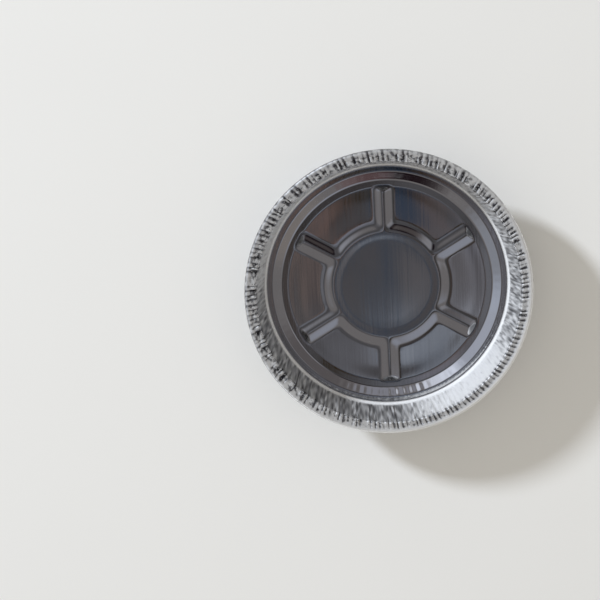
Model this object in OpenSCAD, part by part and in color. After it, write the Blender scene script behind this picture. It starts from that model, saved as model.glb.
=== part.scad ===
// Round foil pie tin, pressed from one sheet of aluminium foil: a flat base with a raised disc,
// ring and ribs, a sloping lower corner, a flat ledge, a pleated wall and a rim rolled under.
// +Z points out of the mouth. The origin is the centre of the underside that the tin rests on.

/* [Foil] */
// Thickness of the foil
foil_t = 0.08; // [0.06:0.01:0.15]

/* [Base] */
// Diameter of the flat part of the base
base_d = 162; // [146:1:190]
// Width of the gently rising foot round the flat part
foot_w = 6.2; // [4:0.2:9]
// Rise of the foot over its width
foot_rise = 0.6; // [0.3:0.1:1.2]

/* [Ribs] */
// Number of ribs that run outward from the ring
ribs = 6; // [5:1:7]
// Diameter of the raised ring, along its crest
ring_d = 88; // [70:1:104]
// Width of the ring and of each rib, from foot to foot
rib_w = 14.6; // [10:0.2:17]
// Width of the crest of the ring and of each rib
crest_w = 2.2; // [1:0.2:5]
// Height of the ring and ribs above the base
rib_h = 1.8; // [1.2:0.1:3]
// How far the disc inside the ring lies below the crest
disc_drop = 0.2; // [0:0.05:1.2]
// Size of the rounded corner where a rib meets the ring
rib_fillet = 4.5; // [3:0.5:10]
// How much steeper a rib falls at its end than along its sides
rib_end_steepness = 1.7; // [1:0.1:2.5]

/* [Corner] */
// Width of the sloping lower corner
corner_w = 6.4; // [5:0.2:12]
// Height of the sloping lower corner
corner_h = 4; // [2.6:0.2:8]
// Width of the flat ledge above the corner
ledge_w = 4.2; // [2:0.2:6]
// Radius of the bend from the ledge up into the wall
bend_r = 2; // [1.2:0.1:3]

/* [Wall] */
// Height of the whole tin
tin_h = 44; // [34:1:60]
// How far the wall leans outward from the bend to the mouth
wall_lean = 5.5; // [2:0.5:9]
// Number of pleats round the wall and the rim
pleats = 180; // [140:2:196]
// Depth of a pleat, from fold to fold
pleat_d = 0.7; // [0.3:0.1:1.2]
// Height over which the pleats fade in above the bend
pleat_fade = 2.5; // [1.5:0.5:6]
// Slant of the pleats over the wall, in degrees round the tin
pleat_slant = 1; // [0:0.2:3]

/* [Rim] */
// Width of the pleated rim, from the wall to the roll
rim_w = 4.2; // [3:0.1:10]
// Depth of the pleated rim below the top of the roll
rim_drop = 0.9; // [0.6:0.1:1.4]
// Outside radius of the rolled edge
roll_r = 2.5; // [1.8:0.1:3]
// How far the foil is rolled round, in degrees
roll_turn = 265; // [200:5:290]

/* [Hidden] */

// The profile's radii, from the flat base outward
base_r = base_d / 2;
foot_r = base_r + foot_w;
corner_r = foot_r + corner_w;
ledge_r = corner_r + ledge_w;
wall_r = ledge_r + bend_r;
mouth_r = wall_r + wall_lean;
roll_in_r = mouth_r + rim_w;
roll_mid_r = roll_in_r + roll_r;

// The profile's heights, on the side of the foil that faces into the tin
foot_z = foil_t + foot_rise;
ledge_z = foot_z + corner_h;
wall_z = ledge_z + bend_r;
mouth_z = tin_h - rim_drop;
roll_mid_z = tin_h - roll_r;
fade_r = wall_r + wall_lean * pleat_fade / (mouth_z - wall_z);

// Share of a corner's width and height that its rounding takes
soften = 0.2;
// Angle through which the bend turns, and its share between two rows
bend_turn = 80;
bend_step = bend_turn / 2;
// Angle on the roll at which the rim runs into it
roll_start = 135;
roll_steps = 6;

// The ring and ribs in plan
ring_r = ring_d / 2;
rib_foot = rib_w / 2;
rib_top = crest_w / 2;
rib_mid = (rib_foot + rib_top) / 2;
disc_rise = rib_h - disc_drop;
rib_end_r = base_r - rib_foot / rib_end_steepness;
sector = 360 / ribs;
first_rib = 90;

// Points round the smooth rows: three steps down each side of a rib, and the rest across a panel
side_steps = 3;
panel_steps = 6;
sector_steps = 2 * side_steps + panel_steps;
smooth_n = ribs * sector_steps;
pleat_n = 2 * pleats;

// The least of two distances, blended over a width k so that their meeting is rounded
function smooth_min(a, b, k) =
    let (h = max(k - abs(a - b), 0) / k)
    min(a, b) - h * h * k / 4;

// Distance from a rib's centre line, with a squarish rounded end
function rib_distance(across, along) =
    let (past = rib_end_steepness * max(0, along - rib_end_r))
    pow(pow(abs(across), 4) + pow(past, 4), 0.25);

// Distance from the centre lines of the ring and the nearest rib
function crest_distance(r, across, along) =
    r < ring_r ? ring_r - r : smooth_min(r - ring_r, rib_distance(across, along), rib_fillet);

// Height of the pressed pattern at radius r, turned by the angle a from the nearest rib
function rib_height(r, a) =
    let (low = r < ring_r ? disc_rise : 0)
    let (d = crest_distance(r, r * sin(a), r * cos(a)))
    low + (rib_h - low) * min(1, max(0, (rib_foot - d) / (rib_foot - rib_top)));

// Angle of point k of a sector, so that rows of points run along a rib's crest, side and foot
function sector_angle(k, r) =
    let (side = [0, rib_top, rib_mid, rib_foot])
    let (foot_a = asin(rib_foot / r))
    k <= side_steps ? asin(side[k] / r)
    : k >= sector_steps - side_steps ? sector - asin(side[sector_steps - k] / r)
    : foot_a + (k - side_steps) * (sector - 2 * foot_a) / panel_steps;

// A row on the flat base and foot, shaped by the ring and ribs
function ribbed_row(r, z) = [
    for (s = [0 : ribs - 1], k = [0 : sector_steps - 1])
        let (a = sector_angle(k, r))
        let (turn = first_rib + s * sector + a)
        [r * cos(turn), r * sin(turn), z + rib_height(r, min(a, sector - a))]
];

// A smooth round row
function smooth_row(r, z) = [
    for (k = [0 : smooth_n - 1])
        let (turn = first_rib + 360 * k / smooth_n)
        [r * cos(turn), r * sin(turn), z]
];

// How deep fold j is, and how far it strays along the row, so that no two pleats are the same
function fold_depth(j) = 0.78 + 0.22 * sin(j * 77) * cos(j * 31);
function fold_stray(j) = 0.22 * sin(j * 53 + 40 * sin(j * 19));

// A pleated row, folded in and out along the direction n
function pleated_row(r, z, n, slant) = [
    for (j = [0 : pleat_n - 1])
        let (turn = first_rib + slant + 360 * (j + fold_stray(j)) / pleat_n)
        let (d = (j % 2 == 0 ? 0.5 : -0.5) * pleat_d * fold_depth(j))
        [(r + d * n[0]) * cos(turn), (r + d * n[0]) * sin(turn), z + d * n[1]]
];

// The panels between the ring's outer foot and the slope at the ribs' ends, with two rows on
// them at shares of their width: one where the ribs leave their fillets, one further out
panel_in_r = ring_r + rib_foot;
panel_out_r = rib_end_r + rib_top / rib_end_steepness;
rib_end_mid_r = rib_end_r + rib_mid / rib_end_steepness;
panel_shares = [0.12, 0.55];

// The profile as [radius, height] from the ring's inner foot to the end of the roll
ribbed_profile = [
    for (r = [
        ring_r - rib_foot, ring_r - rib_mid, ring_r - rib_top, ring_r + rib_top, ring_r + rib_mid,
        panel_in_r, for (s = panel_shares) panel_in_r + s * (panel_out_r - panel_in_r),
        panel_out_r, rib_end_mid_r
    ]) [r, foil_t],
    [base_r, foil_t],
    [(base_r + foot_r) / 2, foil_t + foot_rise / 2],
    [foot_r, foot_z]
];
corner_profile = [
    [foot_r + corner_w * soften, foot_z + corner_h * soften / 2],
    [corner_r - corner_w * soften, ledge_z - corner_h * soften / 2],
    [corner_r + ledge_w * soften, ledge_z],
    for (a = [0 : bend_step : bend_turn])
        [ledge_r + bend_r * sin(a), wall_z - bend_r * cos(a)]
];
pleated_profile = [
    [fade_r, wall_z + pleat_fade],
    [mouth_r, mouth_z],
    [roll_in_r, mouth_z]
];
roll_profile = [
    for (k = [0 : roll_steps])
        let (a = roll_start - roll_turn * k / roll_steps)
        [roll_mid_r + roll_r * cos(a), roll_mid_z + roll_r * sin(a)]
];
profile = concat(ribbed_profile, corner_profile, pleated_profile, roll_profile);
ribbed_rows = len(ribbed_profile);
pleated_from = ribbed_rows + len(corner_profile);
pleated_to = pleated_from + len(pleated_profile) - 1;
last_row = len(profile) - 1;

// Unit vector at right angles to the profile between points i and i + 1, into the tin
function side_normal(i) =
    let (d = profile[i + 1] - profile[i])
    [-d[1], d[0]] / norm(d);

// The direction in which point i moves when the foil gets thicker
function mitre(i) =
    let (a = side_normal(max(i - 1, 0)), b = side_normal(min(i, last_row - 1)))
    (a + b) / (1 + a * b);

// Row i of points, moved away from the inside face by depth
function foil_row(i, depth) =
    let (n = mitre(i), p = profile[i] - depth * mitre(i))
    i < ribbed_rows ? ribbed_row(p[0], p[1])
    : i < pleated_from || i > pleated_to ? smooth_row(p[0], p[1])
    : pleated_row(p[0], p[1], n, i == pleated_from ? 0 : pleat_slant);

// Every row of the closed skin: outward along the inside face, then back along the outside
skin_rows = concat(
    [for (i = [0 : last_row]) foil_row(i, 0)],
    [for (i = [last_row : -1 : 0]) foil_row(i, foil_t)]
);
skin_count = len(skin_rows);
// Index of each row's first point, after the two points at the centre of the base
row_start = [
    for (i = 0, start = 2; i < skin_count; start = start + len(skin_rows[i]), i = i + 1) start
];

// The point of a row of n that faces segment k of a row of m: the nearest one if the row of m
// is the finer, and otherwise the one at which the other row's segments change over
function facing(k, m, n, finer) =
    finer ? round((k + 0.5) * n / m) % n : ceil((k + 0.5) * n / m - 0.5) % n;

// Triangles between two rows, which may have different numbers of points
function band(a, na, b, nb) = concat(
    [for (i = [0 : na - 1]) [a + i, a + (i + 1) % na, b + facing(i, na, nb, na > nb)]],
    [for (j = [0 : nb - 1]) [b + (j + 1) % nb, b + j, a + facing(j, nb, na, nb >= na)]]
);

// Triangles from the centre to the first row, and back from the last row to the centre
function first_fan(b, n) = [for (j = [0 : n - 1]) [b + (j + 1) % n, b + j, 0]];
function last_fan(a, n) = [for (i = [0 : n - 1]) [a + i, a + (i + 1) % n, 1]];

module pie_tin() {
    middle = [[0, 0, foil_t + disc_rise], [0, 0, disc_rise]];
    points = concat(middle, [for (row = skin_rows) each row]);
    bands = [
        for (i = [0 : skin_count - 2])
            each band(row_start[i], len(skin_rows[i]), row_start[i + 1], len(skin_rows[i + 1]))
    ];
    fans = concat(
        first_fan(row_start[0], len(skin_rows[0])),
        last_fan(row_start[skin_count - 1], len(skin_rows[skin_count - 1]))
    );
    color("silver") polyhedron(points = points, faces = concat(bands, fans), convexity = 8);
}

pie_tin();
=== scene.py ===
"""Looks of a round foil pie tin: its pressed base, pleated wall and rolled rim, in a studio."""

import logging
import math
from dataclasses import dataclass, field
from enum import Enum
from typing import Any, Dict, List, Optional, Sequence, Tuple, Union

import bpy
import numpy as np
from mathutils import Matrix, Vector


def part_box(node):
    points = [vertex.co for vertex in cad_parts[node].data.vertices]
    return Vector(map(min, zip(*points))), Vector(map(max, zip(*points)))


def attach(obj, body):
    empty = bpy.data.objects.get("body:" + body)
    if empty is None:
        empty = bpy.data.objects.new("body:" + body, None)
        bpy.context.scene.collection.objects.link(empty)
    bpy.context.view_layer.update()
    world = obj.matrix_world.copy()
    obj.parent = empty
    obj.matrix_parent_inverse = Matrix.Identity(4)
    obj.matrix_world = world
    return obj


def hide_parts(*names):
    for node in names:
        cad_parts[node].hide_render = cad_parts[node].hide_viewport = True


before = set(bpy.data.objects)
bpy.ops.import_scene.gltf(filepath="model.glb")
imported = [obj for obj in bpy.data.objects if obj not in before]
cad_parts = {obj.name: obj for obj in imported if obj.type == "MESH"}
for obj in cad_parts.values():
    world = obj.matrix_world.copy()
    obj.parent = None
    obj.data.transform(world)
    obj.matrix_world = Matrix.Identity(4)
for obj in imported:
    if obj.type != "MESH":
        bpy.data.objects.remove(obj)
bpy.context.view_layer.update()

MM = 0.001
LOG = logging.getLogger("pie_tin")

Colour = Tuple[float, float, float]
Pair = Tuple[float, float]
Number = Union[float, "Signal"]


class Op(Enum):
    """The sums that an expression on signals may use."""

    ADD = "ADD"
    SUBTRACT = "SUBTRACT"
    MULTIPLY = "MULTIPLY"
    DIVIDE = "DIVIDE"
    MAXIMUM = "MAXIMUM"
    MINIMUM = "MINIMUM"


@dataclass
class Signal:
    """A node's output, on which Python's operators add Math nodes."""

    graph: "Graph"
    socket: bpy.types.NodeSocket

    def _with(self, op: Op, first: Number, second: Number) -> "Signal":
        """Adds one Math node.

        Args:
            op: The sum to make.
            first: Left-hand side.
            second: Right-hand side.

        Returns:
            The node's output.
        """
        return self.graph.add("ShaderNodeMath", {"operation": op.value}, {0: first, 1: second})

    def __add__(self, other: Number) -> "Signal":
        """Adds."""
        return self._with(Op.ADD, self, other)

    __radd__ = __add__

    def __sub__(self, other: Number) -> "Signal":
        """Subtracts."""
        return self._with(Op.SUBTRACT, self, other)

    def __rsub__(self, other: Number) -> "Signal":
        """Subtracts from a number, as in 1 - mask."""
        return self._with(Op.SUBTRACT, other, self)

    def __mul__(self, other: Number) -> "Signal":
        """Multiplies."""
        return self._with(Op.MULTIPLY, self, other)

    __rmul__ = __mul__

    def __truediv__(self, other: Number) -> "Signal":
        """Divides."""
        return self._with(Op.DIVIDE, self, other)

    def at_least(self, other: Number) -> "Signal":
        """The larger of two values."""
        return self._with(Op.MAXIMUM, self, other)

    def at_most(self, other: Number) -> "Signal":
        """The smaller of two values."""
        return self._with(Op.MINIMUM, self, other)

    def step(self, low: float, high: float) -> "Signal":
        """Rises smoothly from 0 at low to 1 at high, or falls if high is the smaller.

        Args:
            low: Value at which the step starts.
            high: Value at which it ends.

        Returns:
            The step, from 0 to 1.
        """
        return self.graph.add(
            "ShaderNodeMapRange",
            {"interpolation_type": "SMOOTHSTEP"},
            {"Value": self, "From Min": low, "From Max": high},
        )


@dataclass
class Graph:
    """A node tree, emptied, to which one method adds any node."""

    tree: bpy.types.NodeTree

    def __post_init__(self) -> None:
        """Empties the tree."""
        self.tree.nodes.clear()

    def add(
        self,
        kind: str,
        settings: Optional[Dict[str, Any]] = None,
        sockets: Optional[Dict[Union[str, int], Any]] = None,
        output: Union[str, int] = 0,
    ) -> Signal:
        """Adds a node, sets it up, and then fills its sockets.

        Args:
            kind: The node's type name.
            settings: Its properties, set first.
            sockets: Values, or signals to link, by the socket's name or number.
            output: Name or number of the output to return.

        Returns:
            The chosen output.
        """
        node = self.tree.nodes.new(kind)
        for name, value in (settings or {}).items():
            setattr(node, name, value)
        for key, value in (sockets or {}).items():
            if isinstance(value, Signal):
                self.tree.links.new(value.socket, node.inputs[key])
            else:
                node.inputs[key].default_value = value
        socket = node.outputs[output] if len(node.outputs) else None
        return Signal(self, socket)

    def mix(self, factor: Number, first: Any, second: Any) -> Signal:
        """Mixes two colours.

        Args:
            factor: 0 for the first, 1 for the second.
            first: A colour with alpha, or a signal.
            second: A colour with alpha, or a signal.

        Returns:
            The mixed colour.
        """
        return self.add(
            "ShaderNodeMix", {"data_type": "RGBA"}, {"Factor": factor, 6: first, 7: second}, 2
        )

    def vector(self, operation: str, first: Any, second: Any, output: str = "Vector") -> Signal:
        """Adds a Vector Math node.

        Args:
            operation: Its operation.
            first: First vector.
            second: Second vector.
            output: "Vector", or "Value" for a dot product or length.

        Returns:
            The result.
        """
        return self.add(
            "ShaderNodeVectorMath", {"operation": operation}, {0: first, 1: second}, output
        )

    def noise(self, place: Signal, scale: float, detail: float, roughness: float = 0.5) -> Signal:
        """Adds a Noise Texture node.

        Args:
            place: Where to read it.
            scale: Blotches in each unit of length.
            detail: Number of finer layers.
            roughness: How strong those are.

        Returns:
            The noise, from 0 to 1.
        """
        sockets = {"Vector": place, "Scale": scale, "Detail": detail, "Roughness": roughness}
        return self.add("ShaderNodeTexNoise", None, sockets, "Fac")


@dataclass(frozen=True)
class RolledFoil:
    """Bright rolled aluminium foil: lines along Y, soft smudges, and crinkles in the wall.

    Crinkled foil scatters light, which is drawn by a matt share. It starts where the radius passes
    the wall's foot, and is larger just above the bend and smaller on the rim. The mesh's attribute
    of painted shading is painted shade above 0: it darkens the foil and takes the matt share away.
    Below 0 it is painted light: it adds to that share, which makes the foil brighter, since there
    it mirrors less of the dim room.
    """

    colour: Colour = (0.86, 0.865, 0.875)
    dull_colour: Colour = (0.76, 0.765, 0.775)
    # Near black of the painted shade, and how far the colour goes toward it
    painted_shade_colour: Colour = (0.03, 0.03, 0.034)
    painted_shade_strength: float = 0.92
    roughness: float = 0.075
    wall_roughness: float = 0.35
    rim_roughness: float = -0.20
    wall_matt: float = 0.62
    bend_matt: float = 0.15
    rim_matt: float = -0.21
    most_matt: float = 0.97
    wall_foot: Pair = (97.8 * MM, 99.6 * MM)
    bend: Pair = (12.0 * MM, 7.5 * MM)
    rim: Pair = (40.0 * MM, 42.5 * MM)
    lines_across: float = 620.0
    lines_along: float = 9.0
    lines_up: float = 40.0
    lines_detail: float = 2.5
    broad_share: float = 0.22
    line_depth: float = 0.009 * MM
    broad_depth: float = 0.012 * MM
    line_roughness: float = 0.06
    smudge_scale: float = 26.0
    smudge_roughness: float = 0.04
    dull_smudges: Pair = (0.45, 0.75)
    dull_lines: Pair = (0.55, 0.80)
    smudge_dull: float = 0.5
    line_dull: float = 0.3
    crinkle_scale: float = 420.0
    crinkle_depth: float = 0.25 * MM
    crinkle_stretch: float = 0.35

    def build(self) -> bpy.types.Material:
        """Makes the material.

        Returns:
            The material, reading Object coordinates.
        """
        material = bpy.data.materials.new("rolled_foil")
        material.use_nodes = True
        graph = Graph(material.node_tree)
        place = graph.add("ShaderNodeTexCoord", output="Object")
        # Painted shade above 0 and painted light below 0, read from the mesh
        painted_shading = graph.add("ShaderNodeAttribute", {"attribute_name": "painted_shading"}, None, "Fac")
        flat = graph.vector("MULTIPLY", place, (1.0, 1.0, 0.0))
        wall = graph.vector("LENGTH", flat, (0.0, 0.0, 0.0), "Value").step(*self.wall_foot)
        up = graph.add("ShaderNodeSeparateXYZ", None, {0: place}, "Z")
        rim = up.step(*self.rim)
        matt = up.step(*self.bend) * self.bend_matt + rim * self.rim_matt + self.wall_matt
        matt = (wall * matt * (1.0 - painted_shading)).at_most(self.most_matt)

        lines = self._lines(graph, place, 1.0)
        broad = self._lines(graph, place, self.broad_share)
        smudge = graph.noise(place, self.smudge_scale, 3.0)
        drawn = graph.vector("MULTIPLY", place, (1.0, 1.0, self.crinkle_stretch))
        crinkle = graph.noise(drawn, self.crinkle_scale, 2.0, 0.55)
        height = lines * self.line_depth + broad * self.broad_depth
        height = height + crinkle * wall * self.crinkle_depth
        bump = graph.add(
            "ShaderNodeBump", None, {"Strength": 1.0, "Distance": 1.0, "Height": height}, "Normal"
        )
        roughness = (lines - 0.5) * self.line_roughness + (smudge - 0.5) * self.smudge_roughness
        roughness = roughness + self.roughness
        roughness = roughness + wall * (rim * self.rim_roughness + self.wall_roughness)
        dull = smudge.step(*self.dull_smudges) * self.smudge_dull
        dull = dull + lines.step(*self.dull_lines) * self.line_dull
        colour = graph.mix(dull, (*self.colour, 1.0), (*self.dull_colour, 1.0))
        # Painted shade: the colour goes toward near black as the painted shading rises above 0
        colour = graph.mix(painted_shading * self.painted_shade_strength, colour, (*self.painted_shade_colour, 1.0))
        sockets = {"Base Color": colour, "Metallic": 1.0 - matt, "Roughness": roughness}
        shader = graph.add("ShaderNodeBsdfPrincipled", None, {**sockets, "Normal": bump})
        graph.add("ShaderNodeOutputMaterial", None, {"Surface": shader})
        return material

    def _lines(self, graph: Graph, place: Signal, share: float) -> Signal:
        """Rolling lines: noise drawn out along Y.

        Args:
            graph: The material's nodes.
            place: Object coordinates.
            share: Share of the full number of lines, for a finer or broader set.

        Returns:
            The lines' height, from 0 to 1.
        """
        scale = (self.lines_across * share, self.lines_along, self.lines_up)
        stretched = graph.add("ShaderNodeMapping", None, {"Vector": place, "Scale": scale})
        return graph.noise(stretched, 1.0, self.lines_detail)


@dataclass(frozen=True)
class Waves:
    """A sum of sine waves that run round the tin and slant up its wall.

    Each goes round a random number of times, from the fewest to just below the most. It slants to
    either side by up to twice the given radians over the wall's height, and has a random phase.
    """

    fewest: int
    most: int
    number: int
    slant: float = 0.0

    def over(
        self, turn: np.ndarray, noise: np.random.Generator, climb: Union[float, np.ndarray] = 0.0
    ) -> np.ndarray:
        """Works the sum out.

        Args:
            turn: Angles round the axis.
            noise: Source of each wave's count, slant and phase.
            climb: How far up the wall, from 0 to 1.

        Returns:
            The sum, with a spread of about 1.
        """
        total = np.zeros(np.broadcast_shapes(turn.shape, np.shape(climb)))
        for _ in range(self.number):
            around = int(noise.integers(self.fewest, self.most))
            lean = self.slant * noise.uniform(-2.0, 2.0)
            phase = noise.uniform(0.0, 2 * math.pi)
            total = total + np.sin(around * turn + lean * climb + phase)
        return total * math.sqrt(2.0 / self.number)


@dataclass(frozen=True)
class PaintedShadeStretch:
    """A stretch of the wall that gets painted shade, or painted light if its depth is below 0.

    Its middle is a bearing from +X through +Y. It is full over the inner angle on either side of
    that and fades away at the outer one. All three are in degrees.
    """

    bearing: float
    inner: float
    outer: float
    depth: float

    def over(self, turn: np.ndarray) -> np.ndarray:
        """The painted shade that the stretch adds, painted light where its depth is below 0.

        Args:
            turn: Angles round the axis, from +Y.

        Returns:
            Its depth where it is full, fading to 0.
        """
        away = np.abs((np.degrees(turn) + 90.0 - self.bearing + 180.0) % 360.0 - 180.0)
        return self.depth * smooth_step(away, self.outer, self.inner)


@dataclass(frozen=True)
class PaintedShadeMix:
    """How painted shade adds up: an even part, and shares of the folds, of fine streaks and broad
    waves.
    """

    even: float
    folds: float
    streaks: float
    broad: float
    most: float

    def of(
        self,
        folds: np.ndarray,
        streaks: np.ndarray,
        broad: np.ndarray,
        painted_stretches: Union[float, np.ndarray] = 0.0,
    ) -> np.ndarray:
        """Adds them up.

        Args:
            folds: How deep each point lies in a fold.
            streaks: Fine waves.
            broad: Broad waves.
            painted_stretches: What the stretches of painted shade and painted light add.

        Returns:
            The painted shade, from 0 to the most that the mix allows.
        """
        total = self.folds * folds + self.streaks * streaks + self.broad * broad
        return np.clip(self.even + painted_stretches + total, 0.0, self.most)


@dataclass(frozen=True)
class WallRows:
    """Rows of the wall, the rim and the roll, and columns with one value for each row.

    The profile holds [radius, height]. The fold is a pleat's depth and the crumple that of the
    crumples. The shares from 0 to 1 say how much a row belongs to the folded rim, to the wall, to
    the roll's outermost edge and to the roll from its top on.
    """

    profile: np.ndarray
    fold: np.ndarray
    crumple: np.ndarray
    folded: np.ndarray
    wall: np.ndarray
    edge: np.ndarray
    roll: np.ndarray

    @property
    def climb(self) -> np.ndarray:
        """How far along each row is, from 0 at the wall's foot to 1 at the roll's end."""
        return np.linspace(0.0, 1.0, len(self.profile))[:, None]


@dataclass(frozen=True)
class Pleating:
    """Irregular pleats, and the painted shade and light that the finish puts on them.

    Each pleat has four columns: two on the fold's top, one in its valley and one on the way back.
    The three shapes give each column's place across the fold, how deep it lies in a valley of the
    inside, and how deep in one of the outside. A pair of values holds on the shaded side of the
    tin and on the lit one, and is blended between them.
    """

    count: int = 180
    fold_shape: Sequence[float] = (0.5, 0.3, -0.5, 0.1)
    valley_shape: Sequence[float] = (0.0, 0.0, 1.0, 0.55)
    ridge_shape: Sequence[float] = (1.0, 0.5, 0.0, 0.3)
    slant: float = math.radians(1.6)
    lit_bearing: float = 316.0
    stray: float = 0.45
    bunch: float = 0.8
    loose: Pair = (1.0, 0.25)
    sway: float = 0.3
    sway_waves: Pair = (0.6, 2.2)
    mean_depth: float = 0.7
    swell: float = 0.3
    scatter: float = 0.35
    uneven: Pair = (1.0, 0.4)
    depth_range: Pair = (0.05, 1.3)
    bunches: Waves = Waves(25, 90, 16)
    swells: Waves = Waves(20, 70, 16)
    patches: Waves = Waves(30, 130, 30, 30.0)
    streaks: Waves = Waves(90, 330, 40, 13.5)
    broad: Waves = Waves(25, 110, 30, 13.5)
    # Painted shade on the rim and the roll: in fold valleys and patches, less on the lit side
    rim_valley: float = 1.9
    rim_patch: Pair = (0.48, 0.18)
    rim_even: Pair = (-0.12, -0.34)
    rim_fade: Pair = (1.0, 6.0)
    rim_painted_light: PaintedShadeStretch = PaintedShadeStretch(258.0, 12.0, 34.0, -0.35)
    # Painted light on the roll's lit side
    painted_light_roll: float = 1.1
    # Painted dark line along the roll's outermost edge
    edge_even: Pair = (0.9, 0.0)
    edge_patch: float = 0.2
    # Painted shade in the creases of the wall, on its inside and outside
    inside: PaintedShadeMix = PaintedShadeMix(0.05, 0.24, 0.14, 0.12, 0.85)
    outside: PaintedShadeMix = PaintedShadeMix(0.22, 0.50, 0.10, 0.08, 0.90)
    outside_roll: float = 0.5
    # Stretches of the wall painted darker, and lighter where the depth is below 0: painted shade and
    # painted light
    painted_stretches: Sequence[PaintedShadeStretch] = (
        PaintedShadeStretch(230.0, 36.0, 62.0, 0.40),
        PaintedShadeStretch(5.0, 10.0, 38.0, 0.21),
        PaintedShadeStretch(152.0, 6.0, 30.0, -0.28),
        PaintedShadeStretch(92.0, 4.0, 22.0, 0.12),
        PaintedShadeStretch(307.0, 12.0, 32.0, -0.42),
        PaintedShadeStretch(335.0, 4.0, 16.0, 0.12),
    )

    def across(self, shape: Sequence[float]) -> np.ndarray:
        """A row in which every pleat's four columns have the same four values."""
        return np.tile(shape, self.count)[None, :]

    def lit(self, turn: np.ndarray, power: int) -> np.ndarray:
        """How much points belong to the lit side: half a cosine wave, raised to a power.

        Args:
            turn: Angles round the axis, from +Y.
            power: How narrow the lit side is.

        Returns:
            Shares, 1 in the middle of the lit side and 0 opposite it.
        """
        return (0.5 + 0.5 * facing(turn, self.lit_bearing)) ** power

    def turns(self, rows: WallRows, loose: np.ndarray, noise: np.random.Generator) -> np.ndarray:
        """Angles of the columns, which wander to and fro as they climb and all lean the same way.

        Each column strays from its even place, bunches with its neighbours and follows a sine wave
        of its own. On the lit side the first two are weaker.

        Args:
            rows: The wall's rows.
            loose: Share of the wandering that each row allows.
            noise: Source of the paths.

        Returns:
            Angles round the axis from +Y, rows by columns.
        """
        even = turns_of(len(self.fold_shape) * self.count)
        bunch = self.bunch * self.bunches.over(even, noise)
        stray = noise.uniform(-self.stray, self.stray, even.size)[None, :] + bunch
        waves = rows.climb * noise.uniform(*self.sway_waves, even.size)
        sway = self.sway * np.sin(2 * math.pi * waves + noise.uniform(0, 2 * math.pi, even.size))
        wander = (stray * blend(self.loose, self.lit(even, 2)) + sway) * loose
        return even + wander * 2 * math.pi / even.size + self.slant * rows.climb

    def depths(self, noise: np.random.Generator) -> np.ndarray:
        """Each column's share of a full fold.

        Neighbouring pleats are deep or shallow together, and every column adds a random part. On
        the lit side both are weaker.

        Args:
            noise: Source of the depths.

        Returns:
            One row of shares.
        """
        even = turns_of(self.count).T
        swell = self.swell * self.swells.over(even, noise)
        size = (self.count, len(self.fold_shape))
        depth = swell + noise.uniform(-self.scatter, self.scatter, size)
        depth = self.mean_depth + blend(self.uneven, self.lit(even, 2)) * depth
        return np.clip(depth, *self.depth_range).reshape(1, -1)

    def painted_shadings(
        self, rows: WallRows, turn: np.ndarray, depth: np.ndarray, noise: np.random.Generator
    ) -> Tuple[np.ndarray, np.ndarray]:
        """Painted shade and painted light at each point, on the foil's inside and outside.

        On the rim and the roll a pleat's valley gets painted shade, and patches darken or lighten it.
        That fades down the wall, sooner on the lit side. The wall gets painted shade in faint valleys,
        streaks and broad waves, and stretches of painted shade and painted light. The roll's
        outermost edge gets a painted dark line. Toward the lit side the roll gets painted light, and
        its values fall below 0. On the outside the inside's ridges are valleys.

        Args:
            rows: The wall's rows.
            turn: Angles of the points round the axis, from +Y.
            depth: Each column's share of a full fold.
            noise: Source of the patches, streaks and broad waves.

        Returns:
            Values for the inside and the outside: 1 for the deepest painted shade, and below 0 for
            painted light, where the foil is made duller and so brighter than it is elsewhere.
        """
        kinds = (self.patches, self.streaks, self.broad)
        patch, streak, broad = (waves.over(turn, noise, rows.climb) for waves in kinds)
        lit = self.lit(turn, 3)
        valley = self.across(self.valley_shape) * depth
        # Painted shade in the rim's fold valleys and patches, less on the lit side
        dark = self.rim_valley * valley + blend(self.rim_patch, lit) * patch
        dark = dark + blend(self.rim_even, lit) + self.rim_painted_light.over(turn)
        dark = np.clip(dark * rows.folded ** blend(self.rim_fade, lit), 0.0, 1.0)
        # Stretches of painted shade and painted light round the wall
        painted_stretches = sum(shade_stretch.over(turn) for shade_stretch in self.painted_stretches)
        wall = rows.wall * self.inside.of(valley, streak, broad, painted_stretches)
        # Painted light on the roll's lit side
        bright = self.painted_light_roll * lit * rows.roll
        # Painted dark line along the roll's outermost edge
        edge = rows.edge * np.clip(blend(self.edge_even, lit) + self.edge_patch * patch, 0.0, 1.0)
        inside = np.maximum(dark, wall) - bright + edge * (1.0 - np.clip(dark - bright, 0.0, 1.0))
        outside = self.outside.of(self.across(self.ridge_shape) * depth, streak, broad)
        return inside, outside * np.where(rows.roll > 0.0, self.outside_roll, 1.0)


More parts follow.
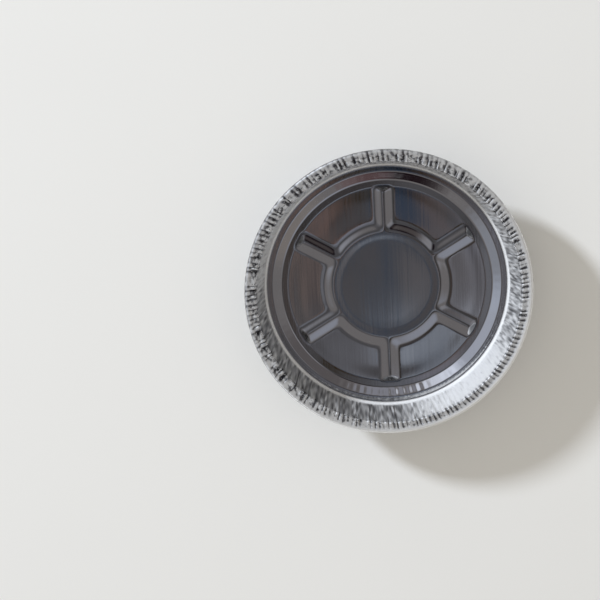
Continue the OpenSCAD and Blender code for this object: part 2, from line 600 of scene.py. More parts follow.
@dataclass
class PieTin:
    """The tin: one sheet of foil, as a closed skin worked out from a profile turned round Z.

    The base's rows are counted from one of its bends to the next. How strongly the slope is
    crimped is given at shares of its width. How much the roll is folded and how much painted shade
    its edge gets are given at angles in degrees, counted from straight outward toward the top, and
    so is where the roll's painted light on the lit side begins and where it is full.
    """

    rim_r: float
    height: float
    foil: float = 0.08 * MM
    base_r: float = 81.0 * MM
    foot_w: float = 6.2 * MM
    foot_rise: float = 0.6 * MM
    ring_r: float = 44.0 * MM
    rib_w: float = 14.6 * MM
    crest_w: float = 2.2 * MM
    rib_h: float = 1.8 * MM
    disc_drop: float = 0.2 * MM
    rib_fillet: float = 4.5 * MM
    rib_end_steepness: float = 1.7
    rib_easing: float = 0.28
    # Painted shade on the slopes at the ribs' ends
    end_shade: float = 0.85
    shade_fade: Pair = (2.2 * MM, 0.4 * MM)
    ribs: int = 6
    base_rows: Sequence[int] = (6, 19, 8, 12, 5)
    ring_margin: float = 0.8 * MM
    end_margin: float = 0.6 * MM
    wave_lengths: Sequence[float] = (110.0 * MM, 75.0 * MM, 50.0 * MM, 36.0 * MM)
    wave_depths: Sequence[float] = (0.030 * MM, 0.022 * MM, 0.017 * MM, 0.012 * MM)
    wave_fade: float = 14.0 * MM
    corner_w: float = 6.4 * MM
    corner_h: float = 4.0 * MM
    ledge_w: float = 4.2 * MM
    foot_bend_r: float = 2.0 * MM
    ledge_bend_r: float = 1.8 * MM
    bend_r: float = 2.0 * MM
    crimp: float = 0.11 * MM
    crimps: Waves = Waves(45, 100, 14)
    crimp_shares: Sequence[Pair] = ((0.0, 0.0), (0.3, 1.0), (0.8, 1.0), (1.0, 0.0))
    crimp_bearing: float = 275.73
    crimp_least: float = 0.13
    corner_step: float = 1.1 * MM
    rim_w: float = 4.2 * MM
    rim_drop: float = 0.9 * MM
    roll_r: float = 2.5 * MM
    roll_start: float = math.radians(135.0)
    roll_turn: float = math.radians(265.0)
    wall_steps: int = 13
    rim_rows: int = 5
    roll_rows: int = 12
    wall_fold: float = 0.42 * MM
    rim_fold: float = 0.95 * MM
    roll_fold: float = 0.14 * MM
    pleat_fade: float = 2.5 * MM
    ruffle: float = 0.16
    crumple: float = 0.16 * MM
    rim_crumple: float = 0.4
    roll_crumple: float = 0.12
    crumples: Waves = Waves(70, 230, 26, 9.0)
    roll_folded: Sequence[Pair] = ((-40.0, 0.6), (20.0, 0.5), (75.0, 0.25), (135.0, 0.95))
    # Painted shade along the roll's edge, and where the roll's painted light starts and is full
    roll_edge: Sequence[Pair] = ((-70.0, 0.4), (-30.0, 1.0), (26.0, 0.9), (66.0, 0.0))
    roll_lit: Pair = (120.3, 68.8)
    clearance: float = 0.02 * MM
    seed: int = 11
    pleating: Pleating = Pleating()
    finish: RolledFoil = RolledFoil()

    def build(self) -> bpy.types.Object:
        """Makes the tin's mesh and dresses it.

        Returns:
            The tin, riding on the root body in place of the solid.
        """
        piece = self._skin().to_object("foil_pie_tin")
        piece.data.materials.append(self.finish.build())
        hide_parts("pie_tin")
        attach(piece, "root")
        LOG.info("%s: %d faces", piece.name, len(piece.data.polygons))
        return piece

    def _smooth_turns(self) -> np.ndarray:
        """Angles of a smooth row's points, half as many as a pleated row has."""
        return turns_of(2 * self.pleating.count)

    def _radii(self) -> Dict[str, float]:
        """Works out where the profile's corners lie.

        Returns:
            Their radii by name, from the flat base outward.
        """
        foot = self.base_r + self.foot_w
        corner = foot + self.corner_w
        ledge = corner + self.ledge_w
        roll_in = self.rim_r - 2 * self.roll_r
        return {
            "foot": foot,
            "corner": corner,
            "wall": ledge + self.bend_r,
            "mouth": roll_in - self.rim_w,
            "roll_in": roll_in,
        }

    def _heights(self) -> Dict[str, float]:
        """Works out how high the profile's corners lie.

        Returns:
            Their heights by name, on the face towards the inside.
        """
        foot = self.foil + self.foot_rise
        ledge = foot + self.corner_h
        return {
            "foot": foot,
            "ledge": ledge,
            "wall": ledge + self.bend_r,
            "mouth": self.height - self.rim_drop,
        }

    def _base_radii(self) -> np.ndarray:
        """Spaces the rows on the base: close over the ring's sides and at the ribs' ends.

        Returns:
            Their radii.
        """
        side = self.rib_w / 2 + self.ring_margin
        stops = (0.0, self.ring_r - side, self.ring_r + side, self.base_r - self.rib_w / 2,
                 self.base_r + self.end_margin, self._radii()["foot"])
        spans = zip(stops, stops[1:], self.base_rows)
        return np.concatenate([np.linspace(start, end, rows)[1:] for start, end, rows in spans])

    def _rib_offsets(self, radius: np.ndarray, turn: np.ndarray) -> Tuple[np.ndarray, np.ndarray]:
        """How far points lie from the nearest rib's centre line.

        Args:
            radius: Distances from the axis.
            turn: Angles round the axis, from +Y.

        Returns:
            Distances across the line, and past its end, the second stretched by how much steeper
            a rib falls at its end than along its sides.
        """
        sector = 2 * math.pi / self.ribs
        near = (turn + sector / 2) % sector - sector / 2
        end = self.base_r - self.rib_w / 2 / self.rib_end_steepness
        past = np.maximum(radius * np.cos(near) - end, 0.0) * self.rib_end_steepness
        return np.abs(radius * np.sin(near)), past

    def _rib_height(self, radius: np.ndarray, turn: np.ndarray) -> np.ndarray:
        """Height of the pressed disc, ring and ribs.

        The distance to the ring's circle and the distance to the nearest rib's centre line, which
        ends in a squarish round, are blended so that they meet in a fillet. The height falls
        straight with that distance from the crest to the foot, with a short easing at both ends.
        Inside the ring it falls only to the level of the disc.

        Args:
            radius: Distances from the axis.
            turn: Angles round the axis, from +Y.

        Returns:
            Heights above the base.
        """
        half = self.rib_w / 2
        across, past = self._rib_offsets(radius, turn)
        to_rib = (across ** 4 + past ** 4) ** 0.25
        to_ring = radius - self.ring_r
        mixing = np.maximum(self.rib_fillet - np.abs(to_ring - to_rib), 0.0) / self.rib_fillet
        outside = np.minimum(to_ring, to_rib) - mixing ** 2 * self.rib_fillet / 4
        inside = radius < self.ring_r
        distance = np.where(inside, -to_ring, outside)
        rise = eased_ramp((half - distance) / (half - self.crest_w / 2), self.rib_easing)
        low = np.where(inside, self.rib_h - self.disc_drop, 0.0)
        return low + (self.rib_h - low) * rise

    def _rib_ends(self) -> np.ndarray:
        """How much painted shade the base gets: only on the slopes at the ribs' ends.

        A slope reaches from just off the crest to just past the foot. The share of the distance
        that lies past the rib's end keeps the shade off its sides.

        Returns:
            The shade at each point of the base's rows, from 0 to 1.
        """
        across, past = self._rib_offsets(self._base_radii()[:, None], self._smooth_turns())
        total = across ** 4 + past ** 4
        distance = total ** 0.25
        off_crest = smooth_step(distance, 0.3 * self.crest_w, self.crest_w)
        on_slope = smooth_step(distance - self.rib_w / 2, *self.shade_fade)
        never_zero = 1e-18
        return self.end_shade * off_crest * on_slope * past ** 4 / (total + never_zero)

    def _base_rows(self, noise: np.random.Generator) -> Tuple[np.ndarray, np.ndarray]:
        """The base's inside face, with its foot, ring, ribs and a slight waviness.

        Args:
            noise: Source of the waves' directions and phases.

        Returns:
            Points on a grid of rows by columns, and the direction in which each row gets thicker.
        """
        radius = self._base_radii()[:, None]
        turn = self._smooth_turns()
        foot_share = np.clip((radius - self.base_r) / self.foot_w, 0.0, 1.0)
        height = self.foil + self.foot_rise * foot_share + self._rib_height(radius, turn)
        fade = 1.0 - smooth_step(radius, self.base_r - self.wave_fade, self.base_r)
        waves = self._base_waves(-radius * np.sin(turn), radius * np.cos(turn), noise)
        points = on_circle(radius, turn, height + fade * waves)
        return points, np.tile([0.0, 1.0], (len(radius), 1))

    def _base_waves(self, x: np.ndarray, y: np.ndarray, noise: np.random.Generator) -> np.ndarray:
        """Slight waviness of the flat foil: a sum of long sine waves, never below the base.

        Args:
            x: Across.
            y: Along.
            noise: Source of the waves' directions and phases.

        Returns:
            Heights from 0 up.
        """
        total = np.zeros_like(x)
        for length, depth in zip(self.wave_lengths, self.wave_depths):
            way = noise.uniform(0.0, math.pi)
            phase = noise.uniform(0.0, 2 * math.pi)
            along = x * math.cos(way) + y * math.sin(way)
            total += depth * (1 + np.sin(2 * math.pi * along / length + phase))
        return total

    def _corner_rows(self, noise: np.random.Generator) -> Tuple[np.ndarray, np.ndarray]:
        """Sloping corner, ledge and bend, with rounded turns and faint crimps in the slope.

        A crimp moves a point along the profile's normal by a sum of waves, strongest at one
        bearing and fading as the eighth power of the cosine to either side.

        Args:
            noise: Source of the crimps.

        Returns:
            Points on a grid of rows by columns, and each row's normal.
        """
        r, z = self._radii(), self._heights()
        path = np.array([
            [r["foot"] - self.foot_w / 2, z["foot"] - self.foot_rise / 2],
            [r["foot"], z["foot"]],
            [r["corner"], z["ledge"]],
            [r["wall"] + 0.1 * MM, z["ledge"]],
            [r["wall"] + 0.6 * MM, z["wall"] + 2 * MM],
        ])
        bends = (0.0, self.foot_bend_r, self.ledge_bend_r, self.bend_r, 0.0)
        profile = rounded_path(path, bends, 4)
        keep = (profile[:, 0] > r["foot"] + self.clearance) & (profile[:, 1] < z["wall"] + 0.1 * MM)
        profile = spread(profile[keep], self.corner_step)
        normal = profile_normals(profile)
        turn = self._smooth_turns()
        on_slope = table((profile[:, :1] - r["foot"]) / self.corner_w, self.crimp_shares)
        near = np.clip(facing(turn, self.crimp_bearing), 0.0, 1.0) ** 8
        push = self.crimp * on_slope * blend((self.crimp_least, 1.0), near)
        push = push * self.crimps.over(turn, noise)
        radius = profile[:, :1] + push * normal[:, :1]
        height = profile[:, 1:] + push * normal[:, 1:]
        return on_circle(radius, turn, height), normal

    def _wall_profile(self) -> WallRows:
        """Rows of the wall, the mouth, the rim and the roll.

        The wall is a straight line from the bend to the mouth, the rim a level one from there to
        the roll, and the roll an arc. The pleats rise out of the smooth bend, deepen near the
        mouth, are full on the rim and faint on the roll.

        Returns:
            The rows, with what each is made of.
        """
        r, z = self._radii(), self._heights()
        foot = np.array([r["wall"] + 0.3 * MM, z["wall"] + 0.9 * MM])
        mouth = np.array([r["mouth"], z["mouth"]])
        share = np.concatenate([[0.0, 0.04], np.linspace(0.1, 0.97, self.wall_steps)])
        wall = foot + share[:, None] * (mouth - foot)
        rim_r = np.linspace(r["mouth"] + 0.7 * MM, r["roll_in"], self.rim_rows)
        rim = np.stack([rim_r, np.full_like(rim_r, z["mouth"])], axis=-1)
        angle = self.roll_start - self.roll_turn * np.linspace(0, 1, self.roll_rows)
        degrees = np.degrees(angle)
        centre = [self.rim_r - self.roll_r, self.height - self.roll_r]
        roll = centre + self.roll_r * np.stack([np.cos(angle), np.sin(angle)], axis=-1)
        rise = smooth_step(share * (mouth[1] - foot[1]), 0.0, self.pleat_fade)
        near_top = smooth_step(share, 0.7, 1.0)
        # The roll's first row still has some of the rim's folds
        roll_fold = np.full(self.roll_rows, self.roll_fold)
        roll_fold[0] *= 3.0
        folds = blend((self.wall_fold, self.rim_fold), near_top)
        crumples = blend((1.0, self.rim_crumple), near_top)
        counts = (len(wall), len(rim), len(roll))
        return WallRows(
            profile=np.vstack([wall, rim, roll]),
            fold=column(counts, rise * folds, self.rim_fold, roll_fold),
            crumple=self.crumple * column(
                counts, rise * crumples, self.rim_crumple, self.roll_crumple
            ),
            folded=column(counts, near_top, 1.0, table(degrees, self.roll_folded)),
            wall=column(counts, rise, 0.0, 0.0),
            edge=column(counts, 0.0, 0.0, table(degrees, self.roll_edge)),
            roll=column(counts, 0.0, 0.0, smooth_step(degrees, *self.roll_lit)),
        )

    def _wall_rows(self, noise: np.random.Generator) -> Tuple[np.ndarray, ...]:
        """The pleated wall, rim and roll on the inside face.

        A point is moved along the profile's normal by its fold, by a random ruffle on the rim and
        by crumples, which are a sum of slanting waves. None passes the tin's box.

        Args:
            noise: Source of the folds' depths and paths.

        Returns:
            Points on a grid of rows by columns, the direction in which each row gets thicker, and
            at each point its painted shade and painted light, on the inside and on the outside.
        """
        rows = self._wall_profile()
        turn = self.pleating.turns(rows, np.minimum(rows.fold / self.wall_fold, 1.0), noise)
        depth = self.pleating.depths(noise)
        ruffle = noise.normal(0.0, self.ruffle, turn.shape) * rows.folded ** 4
        fold = rows.fold * (self.pleating.across(self.pleating.fold_shape) * depth + ruffle)
        push = fold + rows.crumple * self.crumples.over(turn, noise, rows.climb)
        normal = profile_normals(rows.profile)
        radius = rows.profile[:, :1] + push * normal[:, :1]
        height = rows.profile[:, 1:] + push * normal[:, 1:]
        radius = np.minimum(radius, self.rim_r - self.clearance)
        height = np.minimum(height, self.height - self.clearance)
        # Painted shade and painted light for both faces
        inside, outside = self.pleating.painted_shadings(rows, turn, depth, noise)
        return on_circle(radius, turn, height), normal, inside, outside

    def _skin(self) -> "Skin":
        """The whole closed skin: outward along the inside face, and back along the outside.

        Returns:
            The skin, with the painted shade and painted light of both faces.
        """
        noise = np.random.default_rng(self.seed)
        base, base_normal = self._base_rows(noise)
        corner, corner_normal = self._corner_rows(noise)
        wall, wall_normal, inside, outside = self._wall_rows(noise)
        smooth = np.concatenate([base, corner])
        smooth_normal = np.concatenate([base_normal, corner_normal])
        # Painted shade at the ribs' ends; the corner gets none
        shade = np.concatenate([self._rib_ends(), np.zeros(corner.shape[:2])])
        skin = Skin()
        skin.add_pole((0.0, 0.0, smooth[0, :, 2].mean()))
        skin.add_rows(smooth, shade)
        skin.add_rows(wall, inside)
        skin.add_rows(thicken(wall, wall_normal, self.foil)[::-1], outside[::-1])
        skin.add_rows(thicken(smooth, smooth_normal, self.foil)[::-1])
        skin.add_pole((0.0, 0.0, smooth[0, :, 2].mean() - self.foil))
        return skin


def turns_of(count: int) -> np.ndarray:
    """Angles round the axis of a row of evenly spaced points, from +Y."""
    return 2 * math.pi * np.arange(count)[None, :] / count


def facing(turn: np.ndarray, bearing: float) -> np.ndarray:
    """Cosine of the angle between points and a bearing in degrees from +X through +Y.

    Args:
        turn: Angles of the points, from +Y.
        bearing: The bearing.

    Returns:
        Values from 1 at the bearing to -1 opposite it.
    """
    return np.cos(turn - math.radians(bearing - 90.0))


def blend(pair: Pair, share: np.ndarray) -> np.ndarray:
    """Goes from a pair's first value to its second.

    Args:
        pair: The two values.
        share: 0 for the first and 1 for the second.

    Returns:
        The values between them.
    """
    return pair[0] + (pair[1] - pair[0]) * share


def table(places: np.ndarray, pairs: Sequence[Pair]) -> np.ndarray:
    """Values that run straight from each pair to the next.

    Args:
        places: Where to work them out.
        pairs: A place and its value, in rising order of place.

    Returns:
        The value at each place.
    """
    return np.interp(places, *zip(*pairs))


def column(counts: Sequence[int], *parts: Union[float, np.ndarray]) -> np.ndarray:
    """Joins the values of a profile's sections into one column.

    Args:
        counts: Number of rows in each section.
        parts: For each section, one value for all of its rows or one for each row.

    Returns:
        The column.
    """
    full = [np.broadcast_to(part, count) for part, count in zip(parts, counts)]
    return np.concatenate(full)[:, None]


def on_circle(radius: np.ndarray, turn: np.ndarray, height: np.ndarray) -> np.ndarray:
    """Points round the axis.

    Args:
        radius: Distances from the axis.
        turn: Angles from +Y.
        height: Heights.

    Returns:
        A grid of points; the three are broadcast together.
    """
    radius, turn, height = np.broadcast_arrays(radius, turn, height)
    return np.stack([-radius * np.sin(turn), radius * np.cos(turn), height], axis=-1)


def eased_ramp(value: np.ndarray, ease: float) -> np.ndarray:
    """A straight ramp from 0 to 1 whose two ends are rounded by a parabola.

    Args:
        value: Position along the ramp, which starts at 0 and ends at 1.
        ease: Half the length of each rounded end.

    Returns:
        The ramp's height.
    """
    start = (np.clip(value, -ease, ease) + ease) ** 2 / (4 * ease)
    end = (1 + ease - np.clip(value, 1 - ease, 1 + ease)) ** 2 / (4 * ease)
    return np.where(value < ease, start, np.where(value > 1 - ease, 1 - end, value))


def spread(path: np.ndarray, step: float) -> np.ndarray:
    """Adds points to a path where two of them lie further apart than a step.

    Args:
        path: Points of the path.
        step: Greatest distance between two points.

    Returns:
        The finer path.
    """
    parts = [path[:1]]
    for before, after in zip(path, path[1:]):
        count = max(1, int(math.ceil(np.linalg.norm(after - before) / step)))
        parts.append(before + (np.arange(1, count + 1) / count)[:, None] * (after - before))
    return np.vstack(parts)


def smooth_step(value: np.ndarray, low: float, high: float) -> np.ndarray:
    """Rises smoothly from 0 at low to 1 at high, or falls if high is the smaller.

    Args:
        value: Where to work it out.
        low: Where the step starts.
        high: Where it ends.

    Returns:
        The step at each value.
    """
    share = np.clip((value - low) / (high - low), 0.0, 1.0)
    return share * share * (3 - 2 * share)


def profile_normals(profile: np.ndarray) -> np.ndarray:
    """Mitred normals of a profile: the mean of the two sides' normals, lengthened at a bend.

    Args:
        profile: Points as [radius, height].

    Returns:
        One vector for each point, towards the inside of the tin.
    """
    run = np.diff(profile, axis=0)
    side = np.stack([-run[:, 1], run[:, 0]], axis=-1) / np.linalg.norm(run, axis=1)[:, None]
    before, after = np.vstack([side[:1], side]), np.vstack([side, side[-1:]])
    return (before + after) / (1 + (before * after).sum(1))[:, None]


def thicken(points: np.ndarray, normals: np.ndarray, depth: float) -> np.ndarray:
    """The other face of the foil: each point moved against its row's normal.

    Args:
        points: Grid of rows by columns.
        normals: One [radial, upward] vector for each row.
        depth: Thickness of the foil.

    Returns:
        The moved grid.
    """
    flat = points[..., :2]
    outward = flat / np.linalg.norm(flat, axis=-1, keepdims=True)
    moved = points.copy()
    moved[..., :2] -= depth * normals[:, None, :1] * outward
    moved[..., 2] -= depth * normals[:, None, 1]
    return moved


def rounded_path(corners: np.ndarray, bends: Sequence[float], steps: int) -> np.ndarray:
    """A path through corners, each rounded by an arc that touches both of its sides.

    Args:
        corners: Points of the sharp path.
        bends: Radius at each corner, 0 to leave it sharp.
        steps: Points along each arc, less one.

    Returns:
        The rounded path.
    """
    path: List[np.ndarray] = [corners[:1]]
    for before, corner, after, radius in zip(corners, corners[1:], corners[2:], bends[1:]):
        way_in = (corner - before) / np.linalg.norm(corner - before)
        way_out = (after - corner) / np.linalg.norm(after - corner)
        turn = math.atan2(way_in[0] * way_out[1] - way_in[1] * way_out[0], way_in @ way_out)
        reach = radius * abs(math.tan(turn / 2))
        share = np.linspace(0, 1, steps + 1)[:, None]
        side = np.sign(turn) * np.array([-way_in[1], way_in[0]])
        start = corner - way_in * reach
        angle = abs(turn) * share
        path.append(start + radius * (np.sin(angle) * way_in + (1 - np.cos(angle)) * side))
    path.append(corners[-1:])
    return np.vstack(path)


@dataclass
class Skin:
    """A closed surface made of rows of points, where one row may have twice the points of the next."""

    points: List[np.ndarray] = field(default_factory=list)
    painted_shadings: List[np.ndarray] = field(default_factory=list)
    starts: List[Tuple[int, int]] = field(default_factory=list)
    count: int = 0

    def add_pole(self, point: Tuple[float, float, float]) -> None:
        """Adds a single point, to which the row beside it closes."""
        self._add(np.array([point]), np.zeros(1))

    def add_rows(self, rows: np.ndarray, painted_shadings: Optional[np.ndarray] = None) -> None:
        """Adds a grid's rows in order.

        Args:
            rows: Points, rows by columns.
            painted_shadings: Painted shade at each point, painted light where below 0; nothing for
                smooth rows.
        """
        flat = np.zeros(rows.shape[:2]) if painted_shadings is None else painted_shadings
        for row, painted_shading in zip(rows, flat):
            self._add(row, painted_shading)

    def _add(self, row: np.ndarray, painted_shading: np.ndarray) -> None:
        """Adds one row and notes where it starts.

        Args:
            row: Its points.
            painted_shading: The painted shade, or painted light below 0, at each.
        """
        self.starts.append((self.count, len(row)))
        self.points.append(row)
        self.painted_shadings.append(painted_shading)
        self.count += len(row)

    def _faces(self) -> List[np.ndarray]:
        """Faces between each two rows that follow each other."""
        return [self._band(a, b) for a, b in zip(self.starts, self.starts[1:])]

    @staticmethod
    def _band(first: Tuple[int, int], second: Tuple[int, int]) -> np.ndarray:
        """Faces between two rows, pointing outward when the rows run outward on an upper face.

        Args:
            first: Start and length of one row.
            second: Start and length of the next.

        Returns:
            Faces of three or four corners, in which -1 fills a missing fourth.
        """
        (a, m), (b, n) = first, second
        if m == n:
            i = np.arange(m)
            j = (i + 1) % m
            return np.stack([a + i, b + i, b + j, a + j], axis=-1)
        if m == 1:
            i = np.arange(n)
            return np.stack([a + 0 * i, b + i, b + (i + 1) % n, 0 * i - 1], axis=-1)
        if n == 1:
            i = np.arange(m)
            return np.stack([a + i, b + 0 * i, a + (i + 1) % m, 0 * i - 1], axis=-1)
        if 2 * m == n:
            i = np.arange(m)
            j, f = (i + 1) % m, 2 * i
            wide = np.stack([a + i, b + f + 1, a + j, 0 * i - 1], axis=-1)
            left = np.stack([a + i, b + f, b + f + 1, 0 * i - 1], axis=-1)
            right = np.stack([a + j, b + f + 1, b + (f + 2) % n, 0 * i - 1], axis=-1)
            return np.vstack([wide, left, right])
        turned = Skin._band(second, first)
        return np.stack([turned[:, 0], turned[:, 2], turned[:, 1], turned[:, 3]], axis=-1)

    def to_object(self, name: str) -> bpy.types.Object:
        """Puts the skin into a mesh.

        Args:
            name: The object's name.

        Returns:
            The object, in the scene.
        """
        faces = np.vstack(self._faces())
        four = faces[:, 3] >= 0
        sizes = np.where(four, 4, 3)
        loops = faces[faces >= 0]
        mesh = bpy.data.meshes.new(name)
        mesh.vertices.add(self.count)
        mesh.vertices.foreach_set("co", np.concatenate(self.points).astype(np.float32).ravel())
        mesh.loops.add(len(loops))
        mesh.loops.foreach_set("vertex_index", loops.astype(np.int32))
        mesh.polygons.add(len(faces))
        starts = np.concatenate([[0], np.cumsum(sizes)[:-1]])
        mesh.polygons.foreach_set("loop_start", starts.astype(np.int32))
        mesh.polygons.foreach_set("use_smooth", np.ones(len(faces), bool))
        # Painted shade and painted light, which the foil's material reads
        painted_shading = mesh.attributes.new("painted_shading", "FLOAT", "POINT")
        painted_shading.data.foreach_set("value", np.concatenate(self.painted_shadings).astype(np.float32))
        mesh.update(calc_edges=True)
        mesh.validate()
        piece = bpy.data.objects.new(name, mesh)
        bpy.context.scene.collection.objects.link(piece)
        return piece


@dataclass(frozen=True)
class Glow:
    """A round patch of the room, lighter or darker than what is round it.

    The patch lies at an angle from straight up, toward a bearing counted from +X through +Y. It is
    full within the inner angle from its middle and has faded away at the outer one.
    """

    bearing: float
    tilt: float
    inner: float
    outer: float
    colour: Colour

    @property
    def toward(self) -> Tuple[float, float, float]:
        """Works out the way from the tin to the patch's middle.

        Returns:
            A unit vector.
        """
        bearing, tilt = math.radians(self.bearing), math.radians(self.tilt)
        return (
            math.sin(tilt) * math.cos(bearing),
            math.sin(tilt) * math.sin(bearing),
            math.cos(tilt),
        )


@dataclass(frozen=True)
class Panel:
    """A soft-edged panel over the tin, lighter or darker than the ceiling.

    Its middle, half its size and the width over which its edge fades are slopes from straight up,
    toward +X and +Y.
    """

    middle: Pair
    half: Pair
    edge: Pair
    colour: Colour


@dataclass
class Studio:
    """The pale floor, the dim room that the foil mirrors, and the soft key light."""

    floor_half: float = 4.0
    floor_colour: Colour = (0.80, 0.797, 0.79)
    floor_roughness: float = 0.85
    mottle_scale: float = 9.0
    mottle_shade: float = 0.985
    fill: Colour = (0.590, 0.565, 0.515)
    ceiling: Colour = (0.064, 0.062, 0.067)
    walls: Colour = (0.145, 0.136, 0.138)
    horizon: Colour = (0.35, 0.35, 0.36)
    walls_tilt: Pair = (15.0, 27.0)
    horizon_tilt: Pair = (70.0, 84.0)
    least_up: float = 0.2
    panels_up: Pair = (0.75, 0.9)
    glows: Sequence[Glow] = (
        Glow(121.0, 50.0, 3.0, 15.0, (0.34, 0.36, 0.41)),
        Glow(152.0, 56.0, 8.0, 40.0, (0.20, 0.23, 0.29)),
        Glow(202.0, 62.0, 8.0, 30.0, (0.08, 0.10, 0.13)),
        Glow(82.0, 50.0, 4.0, 15.0, (0.07, 0.08, 0.11)),
        Glow(303.0, 44.0, 5.0, 24.0, (0.09, 0.11, 0.15)),
        Glow(318.0, 66.0, 4.0, 20.0, (0.04, 0.03, 0.02)),
        Glow(126.0, 70.0, 6.0, 20.0, (0.90, 0.98, 1.10)),
        Glow(126.0, 88.0, 4.0, 24.0, (0.60, 0.65, 0.75)),
        Glow(235.0, 90.0, 6.0, 24.0, (1.20, 1.25, 1.35)),
        Glow(268.0, 90.0, 6.0, 22.0, (0.90, 0.90, 0.95)),
        Glow(54.0, 24.0, 2.0, 12.0, (-0.080, -0.080, -0.082)),
        Glow(14.0, 27.0, 3.0, 13.0, (0.075, 0.080, 0.095)),
        Glow(35.0, 54.0, 8.0, 28.0, (-0.050, -0.050, -0.050)),
        Glow(257.0, 69.0, 4.0, 16.0, (-0.080, -0.080, -0.080)),
        Glow(280.0, 69.0, 4.0, 14.0, (-0.020, -0.045, -0.045)),
        Glow(265.0, 65.0, 4.0, 20.0, (-0.056, -0.052, -0.052)),
    )
    panels: Sequence[Panel] = (
        Panel((-0.056, -0.007), (0.07, 0.06), (0.06, 0.05), (0.045, 0.052, 0.066)),
        Panel((0.213, -0.137), (0.07, 0.20), (0.04, 0.05), (-0.018, -0.018, -0.022)),
        Panel((0.104, -0.300), (0.06, 0.04), (0.04, 0.03), (-0.030, -0.032, -0.036)),
        Panel((0.065, -0.232), (0.026, 0.024), (0.012, 0.012), (0.118, 0.136, 0.165)),
        Panel((0.022, -0.237), (0.014, 0.020), (0.010, 0.010), (0.040, 0.044, 0.052)),
        Panel((0.046, -0.238), (0.002, 0.030), (0.004, 0.012), (0.070, 0.072, 0.078)),
        Panel((0.060, -0.240), (0.001, 0.030), (0.004, 0.012), (-0.040, -0.038, -0.034)),
        Panel((0.078, -0.232), (0.002, 0.026), (0.004, 0.012), (-0.050, -0.050, -0.050)),
        Panel((0.092, -0.226), (0.002, 0.022), (0.004, 0.012), (0.065, 0.066, 0.070)),
        Panel((0.100, -0.172), (0.012, 0.034), (0.008, 0.010), (0.040, 0.034, 0.034)),
        Panel((0.043, -0.112), (0.010, 0.022), (0.006, 0.008), (-0.026, -0.016, -0.002)),
        Panel((0.069, -0.117), (0.012, 0.020), (0.006, 0.008), (0.026, 0.014, 0.012)),
        Panel((-0.024, -0.115), (0.012, 0.022), (0.006, 0.008), (0.042, 0.020, 0.012)),
        Panel((0.001, -0.107), (0.006, 0.022), (0.006, 0.008), (-0.026, -0.026, -0.030)),
        Panel((-0.042, -0.172), (0.007, 0.034), (0.005, 0.010), (0.060, 0.044, 0.036)),
        Panel((0.032, -0.162), (0.0035, 0.070), (0.005, 0.020), (-0.030, -0.014, 0.006)),
        Panel((-0.110, -0.150), (0.038, 0.060), (0.016, 0.030), (0.060, 0.064, 0.075)),
        Panel((-0.040, -0.060), (0.030, 0.022), (0.020, 0.012), (0.050, 0.055, 0.070)),
        Panel((0.038, -0.089), (0.058, 0.008), (0.015, 0.008), (-0.060, -0.067, -0.086)),
        Panel((-0.059, -0.180), (0.006, 0.060), (0.006, 0.020), (-0.030, -0.028, -0.032)),
        Panel((0.108, -0.136), (0.010, 0.012), (0.010, 0.010), (0.030, 0.034, 0.048)),
        Panel((0.052, -0.210), (0.012, 0.010), (0.010, 0.010), (0.016, 0.018, 0.020)),
        Panel((0.090, -0.208), (0.014, 0.006), (0.008, 0.006), (0.040, 0.043, 0.050)),
        Panel((0.066, -0.172), (0.012, 0.020), (0.012, 0.020), (0.030, 0.026, 0.026)),
        Panel((0.002, -0.238), (0.024, 0.020), (0.012, 0.012), (0.036, 0.038, 0.045)),
        Panel((0.112, -0.180), (0.016, 0.030), (0.020, 0.015), (0.038, 0.043, 0.054)),
        Panel((-0.030, -0.115), (0.022, 0.065), (0.012, 0.035), (0.005, -0.006, -0.011)),
        Panel((0.155, -0.180), (0.025, 0.050), (0.015, 0.030), (-0.004, -0.012, -0.018)),
    )
    key_place: Tuple[float, float, float] = (-3.99, 3.12, 2.25)
    key_size: float = 0.62
    key_power: float = 336.0
    key_colour: Colour = (0.86, 0.92, 1.0)

    def build(self) -> None:
        """Makes the floor, the room and the light."""
        self._floor()
        self._room()
        self._key()

    def _floor(self) -> None:
        """A wide matt floor just under the tin."""
        half = self.floor_half
        mesh = bpy.data.meshes.new("studio_floor")
        corners = [(-half, -half, 0.0), (half, -half, 0.0), (half, half, 0.0), (-half, half, 0.0)]
        mesh.from_pydata(corners, [], [(0, 1, 2, 3)])
        floor = bpy.data.objects.new("studio_floor", mesh)
        bpy.context.scene.collection.objects.link(floor)
        material = bpy.data.materials.new("matt_table")
        material.use_nodes = True
        graph = Graph(material.node_tree)
        place = graph.add("ShaderNodeTexCoord", output="Object")
        mottle = graph.noise(place, self.mottle_scale, 4.0)
        shade = tuple(self.mottle_shade * c for c in self.floor_colour)
        colour = graph.mix(mottle, (*self.floor_colour, 1.0), (*shade, 1.0))
        sockets = {"Base Color": colour, "Roughness": self.floor_roughness}
        shader = graph.add("ShaderNodeBsdfPrincipled", None, sockets)
        graph.add("ShaderNodeOutputMaterial", None, {"Surface": shader})
        mesh.materials.append(material)

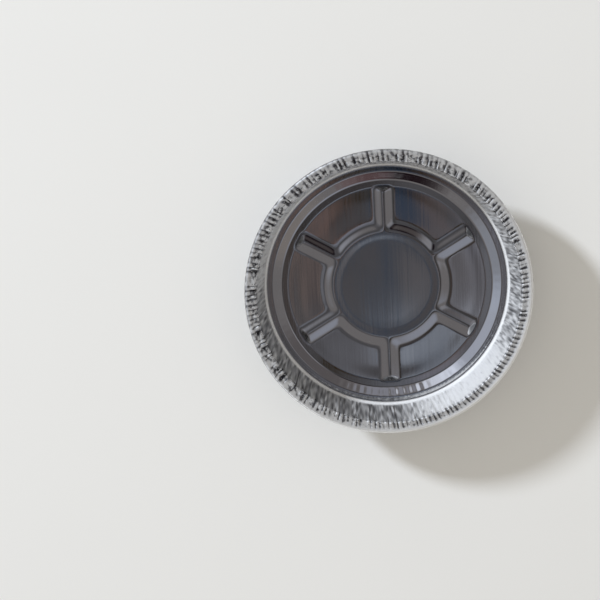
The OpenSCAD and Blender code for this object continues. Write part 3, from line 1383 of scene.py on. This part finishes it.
    def _room(self) -> None:
        """The world: a dim room with soft patches for the foil, an even fill, a pale backdrop.

        A panel's mask is read at the slopes X / Z and Y / Z of the way, with Z kept from 0.
        """
        world = bpy.data.worlds.new("studio")
        bpy.context.scene.world = world
        world.use_nodes = True
        graph = Graph(world.node_tree)
        way = graph.add("ShaderNodeTexCoord", output="Generated")
        split = graph.add("ShaderNodeSeparateXYZ", None, {0: way}, "X")
        up = Signal(graph, split.socket.node.outputs["Z"])
        beside, low = (
            up.step(math.cos(math.radians(start)), math.cos(math.radians(end)))
            for start, end in (self.walls_tilt, self.horizon_tilt)
        )
        total: Any = graph.mix(beside, (*self.ceiling, 1.0), (*self.walls, 1.0))
        total = graph.mix(low, total, (*self.horizon, 1.0))
        for glow in self.glows:
            near = graph.vector("DOT_PRODUCT", way, glow.toward, "Value")
            mask = near.step(
                math.cos(math.radians(glow.outer)), math.cos(math.radians(glow.inner))
            )
            total = graph.vector("ADD", total, self._scaled(graph, glow.colour, mask))
        ahead = Signal(graph, split.socket.node.outputs["Y"])
        rise = up.at_least(self.least_up)
        slopes = (split / rise, ahead / rise)
        for panel in self.panels:
            mask = up.step(*self.panels_up)
            for slope, middle, half, edge in zip(slopes, panel.middle, panel.half, panel.edge):
                away = graph.add("ShaderNodeMath", {"operation": "ABSOLUTE"}, {0: slope - middle})
                mask = mask * away.step(half + edge, half)
            total = graph.vector("ADD", total, self._scaled(graph, panel.colour, mask))
        glossy = graph.add("ShaderNodeLightPath", output="Is Glossy Ray")
        seen = graph.add("ShaderNodeLightPath", output="Is Camera Ray")
        room = graph.add("ShaderNodeBackground", None, {"Color": total})
        even = graph.add("ShaderNodeBackground", None, {"Color": (*self.fill, 1.0)})
        pale = graph.add("ShaderNodeBackground", None, {"Color": (*self.floor_colour, 1.0)})
        lit = graph.add("ShaderNodeMixShader", None, {"Fac": glossy, 1: even, 2: room})
        both = graph.add("ShaderNodeMixShader", None, {"Fac": seen, 1: lit, 2: pale})
        graph.add("ShaderNodeOutputWorld", None, {"Surface": both})

    @staticmethod
    def _scaled(graph: Graph, colour: Colour, mask: Signal) -> Signal:
        """A colour times a mask.

        Args:
            graph: The world's nodes.
            colour: The colour where the mask is 1.
            mask: From 0 to 1.

        Returns:
            The scaled colour.
        """
        return graph.add(
            "ShaderNodeVectorMath", {"operation": "SCALE"}, {0: colour, "Scale": mask}
        )

    def _key(self) -> None:
        """A soft lamp at the picture's upper left."""
        lamp = bpy.data.lights.new("key", "AREA")
        lamp.shape = "DISK"
        lamp.size = self.key_size
        lamp.energy = self.key_power
        lamp.color = self.key_colour
        key = bpy.data.objects.new("key", lamp)
        place = Vector(self.key_place)
        key.location = place
        key.rotation_euler = (-place).to_track_quat("-Z", "Y").to_euler()
        key.visible_glossy = False
        bpy.context.scene.collection.objects.link(key)


@dataclass
class Camera:
    """The photograph's view: nearly along the tin's axis, from the side of one rib."""

    aim: Tuple[float, float, float]
    rim_px: float = 289.4
    rim_width: float = 0.229
    picture_px: float = 600.0
    aim_px: Pair = (388.6, 294.2)
    distance: float = 1.056
    tilt: float = math.radians(10.8)
    side: float = math.radians(-11.0)
    roll: float = math.radians(3.0)
    sensor: float = 36.0

    def build(self) -> bpy.types.Object:
        """Places the camera so that the rim's centre falls on its pixel.

        Returns:
            The camera.
        """
        scale = self.rim_width / self.rim_px
        frame_width = scale * self.picture_px
        data = bpy.data.cameras.new("camera")
        data.sensor_width = self.sensor
        data.lens = self.sensor * self.distance / frame_width
        camera = bpy.data.objects.new("camera", data)
        back = math.sin(self.tilt)
        forward = Vector(
            (back * math.sin(self.side), -back * math.cos(self.side), -math.cos(self.tilt))
        )
        level_right = forward.cross(Vector((0.0, 1.0, 0.0))).normalized()
        right = Matrix.Rotation(self.roll, 3, forward) @ level_right
        up = right.cross(forward)
        across = (self.aim_px[0] - self.picture_px / 2) * scale
        rise = (self.picture_px / 2 - self.aim_px[1]) * scale
        place = Vector(self.aim) - forward * self.distance - right * across - up * rise
        turn = Matrix((right, up, -forward)).transposed()
        camera.matrix_world = Matrix.Translation(place) @ turn.to_4x4()
        bpy.context.scene.collection.objects.link(camera)
        bpy.context.scene.camera = camera
        return camera


def main() -> None:
    """Builds the tin, the studio and the camera."""
    logging.basicConfig(level=logging.INFO, format="%(name)s: %(message)s")
    low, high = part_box("pie_tin")
    tin = PieTin(rim_r=(high.x - low.x) / 2, height=high.z)
    tin.build()
    Studio().build()
    Camera(aim=(0.0, 0.0, tin.height)).build()
    bpy.context.scene.view_settings.view_transform = "Standard"


if __name__ == "__main__":
    main()
